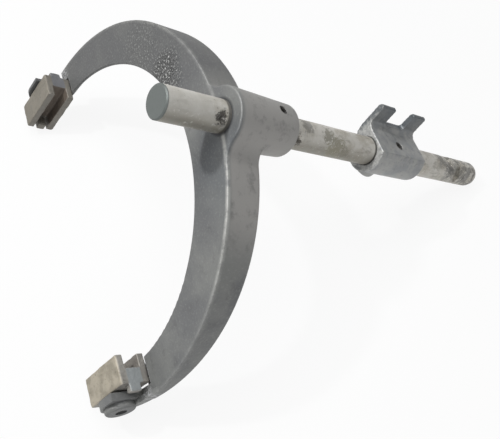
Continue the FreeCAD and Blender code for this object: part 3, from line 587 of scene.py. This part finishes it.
def worn_shoe_steel():
    """Hardened shoe, milled: tan oil film on its front, grey sides, and painted shade in the
    slot and on the upper shoe's web end.
    """
    material, tree, place, along, across, up = start_material(
        "hardened_steel_shoe_milled_and_oil_stained")

    # Milled ends and cheeks in plain grey
    clouds = add_node(tree, "ShaderNodeTexNoise",
                      {"Scale": 1 / 9, "Detail": 6, "Roughness": 0.6}, {"Vector": place})
    cloudy = add_node(tree, "ShaderNodeMapRange",
                      {"interpolation_type": "SMOOTHSTEP", "From Min": 0.38, "From Max": 0.6},
                      {"Value": clouds})
    skin = add_node(tree, "ShaderNodeMix",
                    {"data_type": "RGBA", 6: colour("#83807b"), 7: colour("#9b9892")},
                    {0: cloudy}, 2)

    # Film of old oil on the front face
    front = add_node(tree, "ShaderNodeMapRange",
                     {"From Min": SHOE_FRONT + 1.5, "From Max": SHOE_FRONT + 0.3},
                     {"Value": along})
    overlay_tone = add_node(tree, "ShaderNodeMix",
                    {"data_type": "RGBA", 6: colour("#958e7f"), 7: colour("#ada595")},
                    {0: cloudy}, 2)
    skin = add_node(tree, "ShaderNodeMix", {"data_type": "RGBA"},
                    {0: front, 6: skin, 7: overlay_tone}, 2)

    # The upper shoe is darker than the lower one
    upper = add_node(tree, "ShaderNodeMapRange",
                     {"From Min": 10, "From Max": 30, "To Max": 0.75}, {"Value": up})
    skin = add_node(tree, "ShaderNodeMix", {"data_type": "RGBA", 7: colour("#6f6b63")},
                    {0: upper, 6: skin}, 2)

    # Dark scratches and specks of dirt
    specks = add_node(tree, "ShaderNodeTexNoise",
                      {"Scale": 1 / 2.2, "Detail": 5, "Roughness": 0.7}, {"Vector": place})
    dirty = add_node(tree, "ShaderNodeMapRange",
                     {"interpolation_type": "SMOOTHSTEP", "From Min": 0.57, "From Max": 0.68,
                      "To Max": 0.55}, {"Value": specks})
    skin = add_node(tree, "ShaderNodeMix", {"data_type": "RGBA", 7: colour("#55504a")},
                    {0: dirty, 6: skin}, 2)

    # Painted shade: dark brown in the slot, deeper on the upper shoe
    level = add_node(tree, "ShaderNodeMath", {"operation": "SUBTRACT", 1: ARCH_MIDDLE},
                     {0: up})
    level = add_node(tree, "ShaderNodeMath", {"operation": "ABSOLUTE"}, {0: level})
    off_slot = add_node(tree, "ShaderNodeMath", {"operation": "SUBTRACT", 1: SLOT_MIDDLE},
                        {0: along})
    off_slot = add_node(tree, "ShaderNodeMath", {"operation": "ABSOLUTE"}, {0: off_slot})
    slot = add_node(tree, "ShaderNodeMapRange",
                    {"From Min": SLOT_HALF_WIDTH + 0.4, "From Max": SLOT_HALF_WIDTH + 0.1},
                    {"Value": off_slot})
    below = add_node(tree, "ShaderNodeMapRange",
                     {"From Min": SLOT_FLOOR + 1, "From Max": SLOT_FLOOR + 0.1},
                     {"Value": level})
    slot = add_node(tree, "ShaderNodeMath", {"operation": "MULTIPLY"}, {0: slot, 1: below})
    inside = add_node(tree, "ShaderNodeMapRange",
                      {"From Min": SLOT_STOP - 0.2, "From Max": SLOT_STOP - 0.6},
                      {"Value": across})
    slot = add_node(tree, "ShaderNodeMath", {"operation": "MULTIPLY"}, {0: slot, 1: inside})
    slot_shade_share = add_node(tree, "ShaderNodeMapRange",
                      {"From Min": 10, "From Max": 30, "To Min": 0.4}, {"Value": up})
    slot = add_node(tree, "ShaderNodeMath", {"operation": "MULTIPLY"}, {0: slot, 1: slot_shade_share})
    skin = add_node(tree, "ShaderNodeMix", {"data_type": "RGBA", 7: colour("#685f56")},
                    {0: slot, 6: skin}, 2)

    # Bare blue-grey end of the web that faces the arm, with painted shade making it darker
    # grey on the upper shoe
    web = add_node(tree, "ShaderNodeMapRange",
                   {"From Min": SHOE_NEAR_END + 0.9, "From Max": SHOE_NEAR_END + 0.3},
                   {"Value": across})
    bare = add_node(tree, "ShaderNodeMapRange",
                    {"From Min": SLOT_FLOOR - 0.1, "From Max": SLOT_FLOOR + 0.3},
                    {"Value": level})
    centre = add_node(tree, "ShaderNodeMapRange",
                      {"From Min": SLOT_HALF_WIDTH + 0.2, "From Max": SLOT_HALF_WIDTH - 0.3},
                      {"Value": off_slot})
    web = add_node(tree, "ShaderNodeMath", {"operation": "MULTIPLY"}, {0: web, 1: bare})
    web = add_node(tree, "ShaderNodeMath", {"operation": "MULTIPLY"}, {0: web, 1: centre})
    bare_and_shaded_end = add_node(tree, "ShaderNodeMix",
                      {"data_type": "RGBA", 6: colour("#8f9394"), 7: colour("#67666a")},
                      {0: upper}, 2)
    skin = add_node(tree, "ShaderNodeMix", {"data_type": "RGBA"},
                    {0: web, 6: skin, 7: bare_and_shaded_end}, 2)

    # Outer edges rubbed bright, inner corners filled with dirt
    edges = add_node(tree, "ShaderNodeAttribute", {"attribute_name": "edge_wear"},
                     output="Fac")
    bright_edge = add_node(tree, "ShaderNodeMapRange",
                           {"interpolation_type": "SMOOTHSTEP", "From Min": 0.15,
                            "From Max": 1.0, "To Max": 0.35}, {"Value": edges})
    skin = add_node(tree, "ShaderNodeMix", {"data_type": "RGBA", 7: colour("#b5b0a6")},
                    {0: bright_edge, 6: skin}, 2)
    dark_corner = add_node(tree, "ShaderNodeMapRange",
                           {"interpolation_type": "SMOOTHSTEP", "From Min": -0.1,
                            "From Max": -0.9, "To Max": 0.8}, {"Value": edges})
    skin = add_node(tree, "ShaderNodeMix", {"data_type": "RGBA", 7: colour("#3b3936")},
                    {0: dark_corner, 6: skin}, 2)

    # Relief: the specks stand a little proud of the steel
    normal = add_node(tree, "ShaderNodeBump", {"Strength": 0.4, "Distance": 0.25 * MM},
                      {"Height": specks})
    dullness = add_node(tree, "ShaderNodeMapRange", {"To Min": 0.5, "To Max": 0.66},
                        {"Value": clouds})
    return finish_material(material, tree, {"Metallic": 0.3},
                           {"Base Color": skin, "Roughness": dullness, "Normal": normal})


def dark_pin_steel(name, dark, light):
    """Small steel pin, dark with old oil."""
    material, tree, place, *_ = start_material(name)

    # Oil lying in patches over the bare steel
    oil = add_node(tree, "ShaderNodeTexNoise", {"Scale": 1 / 2.5, "Detail": 3},
                   {"Vector": place})
    oiled = add_node(tree, "ShaderNodeMapRange",
                     {"interpolation_type": "SMOOTHSTEP", "From Min": 0.4, "From Max": 0.6},
                     {"Value": oil})
    skin = add_node(tree, "ShaderNodeMix",
                    {"data_type": "RGBA", 6: colour(dark), 7: colour(light)}, {0: oiled}, 2)
    normal = add_node(tree, "ShaderNodeBump", {"Strength": 0.2, "Distance": 0.05 * MM},
                      {"Height": oil})
    return finish_material(material, tree, {"Metallic": 0.6, "Roughness": 0.45},
                           {"Base Color": skin, "Normal": normal})


forged = forged_steel()
shoe_steel = worn_shoe_steel()
spring_steel = dark_pin_steel("spring_steel_rolled_and_oil_blackened", "#3b3a38", "#555350")
turned_steel = dark_pin_steel("steel_dowel_turned_and_oiled", "#4a4640", "#6a655c")
FINISHES = {
    "fork": forged,
    "shift_rod": ground_steel(),
    "selector_bracket": machined_casting(),
    "hub_roll_pin": spring_steel,
    "bracket_roll_pin": spring_steel,
    "lower_shoe": shoe_steel,
    "upper_shoe": shoe_steel,
    "lower_shoe_pin": turned_steel,
    "upper_shoe_pin": turned_steel,
}

for name, node in NODES.items():
    node.data.materials.clear()
    node.data.materials.append(FINISHES[name])


def worn_copy(node, body, grid, passes, dents):
    """Stand-in for a CAD piece with the same shape, its edges worn soft and faces uneven.

    The attribute edge_wear says how far each point was rubbed down: 1 on an outer edge, -1
    in an inner corner, where dirt gathers instead.
    """
    bpy.ops.object.select_all(action="DESELECT")
    piece = bpy.data.objects.new(node + "_worn", NODES[node].data.copy())
    bpy.context.scene.collection.objects.link(piece)
    bpy.context.view_layer.objects.active = piece
    piece.select_set(True)
    bpy.ops.object.mode_set(mode="EDIT")
    bpy.ops.mesh.select_all(action="SELECT")
    bpy.ops.mesh.remove_doubles(threshold=SAME_POINT * MM)
    bpy.ops.object.mode_set(mode="OBJECT")
    regrid = piece.modifiers.new("even_grid", "REMESH")
    regrid.mode = "VOXEL"
    regrid.voxel_size = grid * MM
    soften = piece.modifiers.new("worn_edges", "SMOOTH")
    soften.iterations = passes
    hammered = bpy.data.textures.new(node + "_dents", "CLOUDS")
    hammered.noise_scale = DENT_SPREAD * MM
    hammered.noise_depth = 3
    dent = piece.modifiers.new("dents", "DISPLACE")
    dent.texture = hammered
    dent.texture_coords = "LOCAL"
    dent.strength = dents * MM
    bpy.ops.object.modifier_apply(modifier="even_grid")
    sharp = [vertex.co.copy() for vertex in piece.data.vertices]
    normals = [vertex.normal.copy() for vertex in piece.data.vertices]
    bpy.ops.object.modifier_apply(modifier="worn_edges")
    rubbed = [(before - vertex.co).dot(normal) / (FULL_WEAR * MM)
              for before, vertex, normal in zip(sharp, piece.data.vertices, normals)]
    wear = piece.data.attributes.new("edge_wear", "FLOAT", "POINT")
    wear.data.foreach_set("value", rubbed)
    bpy.ops.object.modifier_apply(modifier="dents")
    bpy.ops.object.shade_smooth()
    piece.select_set(False)
    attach(piece, body)
    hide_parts(node)


for node, body, slot, grid, passes, dents in WORN_PIECES:
    worn_copy(node, body, grid, passes, dents)


def seen_white(tree):
    """1 for the rays that show the background: the camera's, mirrored and passed ones."""
    camera = add_node(tree, "ShaderNodeLightPath", output="Is Camera Ray")
    mirrored = add_node(tree, "ShaderNodeLightPath", output="Is Glossy Ray")
    passed = add_node(tree, "ShaderNodeLightPath", output="Is Transmission Ray")
    shown = add_node(tree, "ShaderNodeMath", {"operation": "MAXIMUM"},
                     {0: camera, 1: mirrored})
    return add_node(tree, "ShaderNodeMath", {"operation": "MAXIMUM"}, {0: shown, 1: passed})


def pale_stage():
    """White card that looks white where it is bare and keeps a faint shadow of the object."""
    bpy.ops.mesh.primitive_plane_add(size=FLOOR_SIDE, location=(0, 0, -FLOOR_DROP))
    floor = bpy.context.object
    floor.name = "floor"
    material = bpy.data.materials.new("white_card_matt")
    material.use_nodes = True
    tree = material.node_tree
    tree.nodes.clear()
    card = add_node(tree, "ShaderNodeBsdfDiffuse", {"Color": colour("#d8d8d8")})
    white = add_node(tree, "ShaderNodeEmission", {"Color": (1, 1, 1, 1), "Strength": 1.0})
    here = add_node(tree, "ShaderNodeTexCoord", output="Object")
    away = add_node(tree, "ShaderNodeVectorMath", {"operation": "LENGTH"}, {0: here}, "Value")
    share = add_node(tree, "ShaderNodeMapRange",
                     {"interpolation_type": "SMOOTHSTEP", "From Min": WHITE_GROWS_FROM,
                      "From Max": ALL_WHITE_FROM, "To Min": WHITE_SHARE}, {"Value": away})
    share = add_node(tree, "ShaderNodeMath", {"operation": "MULTIPLY"},
                     {0: seen_white(tree), 1: share})
    surface = add_node(tree, "ShaderNodeMixShader", {}, {0: share, 1: card, 2: white})
    add_node(tree, "ShaderNodeOutputMaterial", {}, {"Surface": surface})
    floor.data.materials.append(material)


def add_lamp(name, travel, size, watts):
    """Add a round soft lamp whose light travels the given way to the middle of the object."""
    travel = Vector(travel).normalized()
    lamp_data = bpy.data.lights.new(name, "AREA")
    lamp_data.shape = "DISK"
    lamp_data.size = size
    lamp_data.energy = watts
    lamp = bpy.data.objects.new(name, lamp_data)
    lamp.location = in_row(LIT_PLACE) - travel * LAMP_DISTANCE
    lamp.rotation_mode = "QUATERNION"
    lamp.rotation_quaternion = travel.to_track_quat("-Z", "Y")
    bpy.context.scene.collection.objects.link(lamp)


def pale_room():
    """Even pale room that the camera sees as white."""
    world = bpy.data.worlds.new("pale_room")
    bpy.context.scene.world = world
    world.use_nodes = True
    tree = world.node_tree
    tree.nodes.clear()
    room = add_node(tree, "ShaderNodeBackground",
                    {"Color": colour("#e6e8ea"), "Strength": ROOM_LIGHT})
    white = add_node(tree, "ShaderNodeBackground", {"Color": (1, 1, 1, 1), "Strength": 1.0})
    camera = add_node(tree, "ShaderNodeLightPath", output="Is Camera Ray")
    surface = add_node(tree, "ShaderNodeMixShader", {}, {0: camera, 1: room, 2: white})
    add_node(tree, "ShaderNodeOutputWorld", {}, {"Surface": surface})


def photograph_camera():
    """Camera standing where the photograph was taken from."""
    camera_data = bpy.data.cameras.new("camera")
    camera_data.lens = CAMERA_LENS
    camera_data.sensor_width = CAMERA_SENSOR
    camera_data.clip_start = 0.01
    camera_data.clip_end = 50
    camera = bpy.data.objects.new("camera", camera_data)
    right = DRAWING_TURN @ Vector(CAMERA_RIGHT)
    up = DRAWING_TURN @ -Vector(CAMERA_DOWN)
    back = DRAWING_TURN @ -Vector(CAMERA_FORWARD)
    turn = Matrix((right, up, back)).transposed()
    camera.matrix_world = Matrix.Translation(in_row(CAMERA_PLACE)) @ turn.to_4x4()
    bpy.context.scene.collection.objects.link(camera)
    bpy.context.scene.camera = camera


pale_stage()
for lamp in LAMPS:
    add_lamp(*lamp)
pale_room()
photograph_camera()
bpy.context.scene.view_settings.view_transform = "Standard"
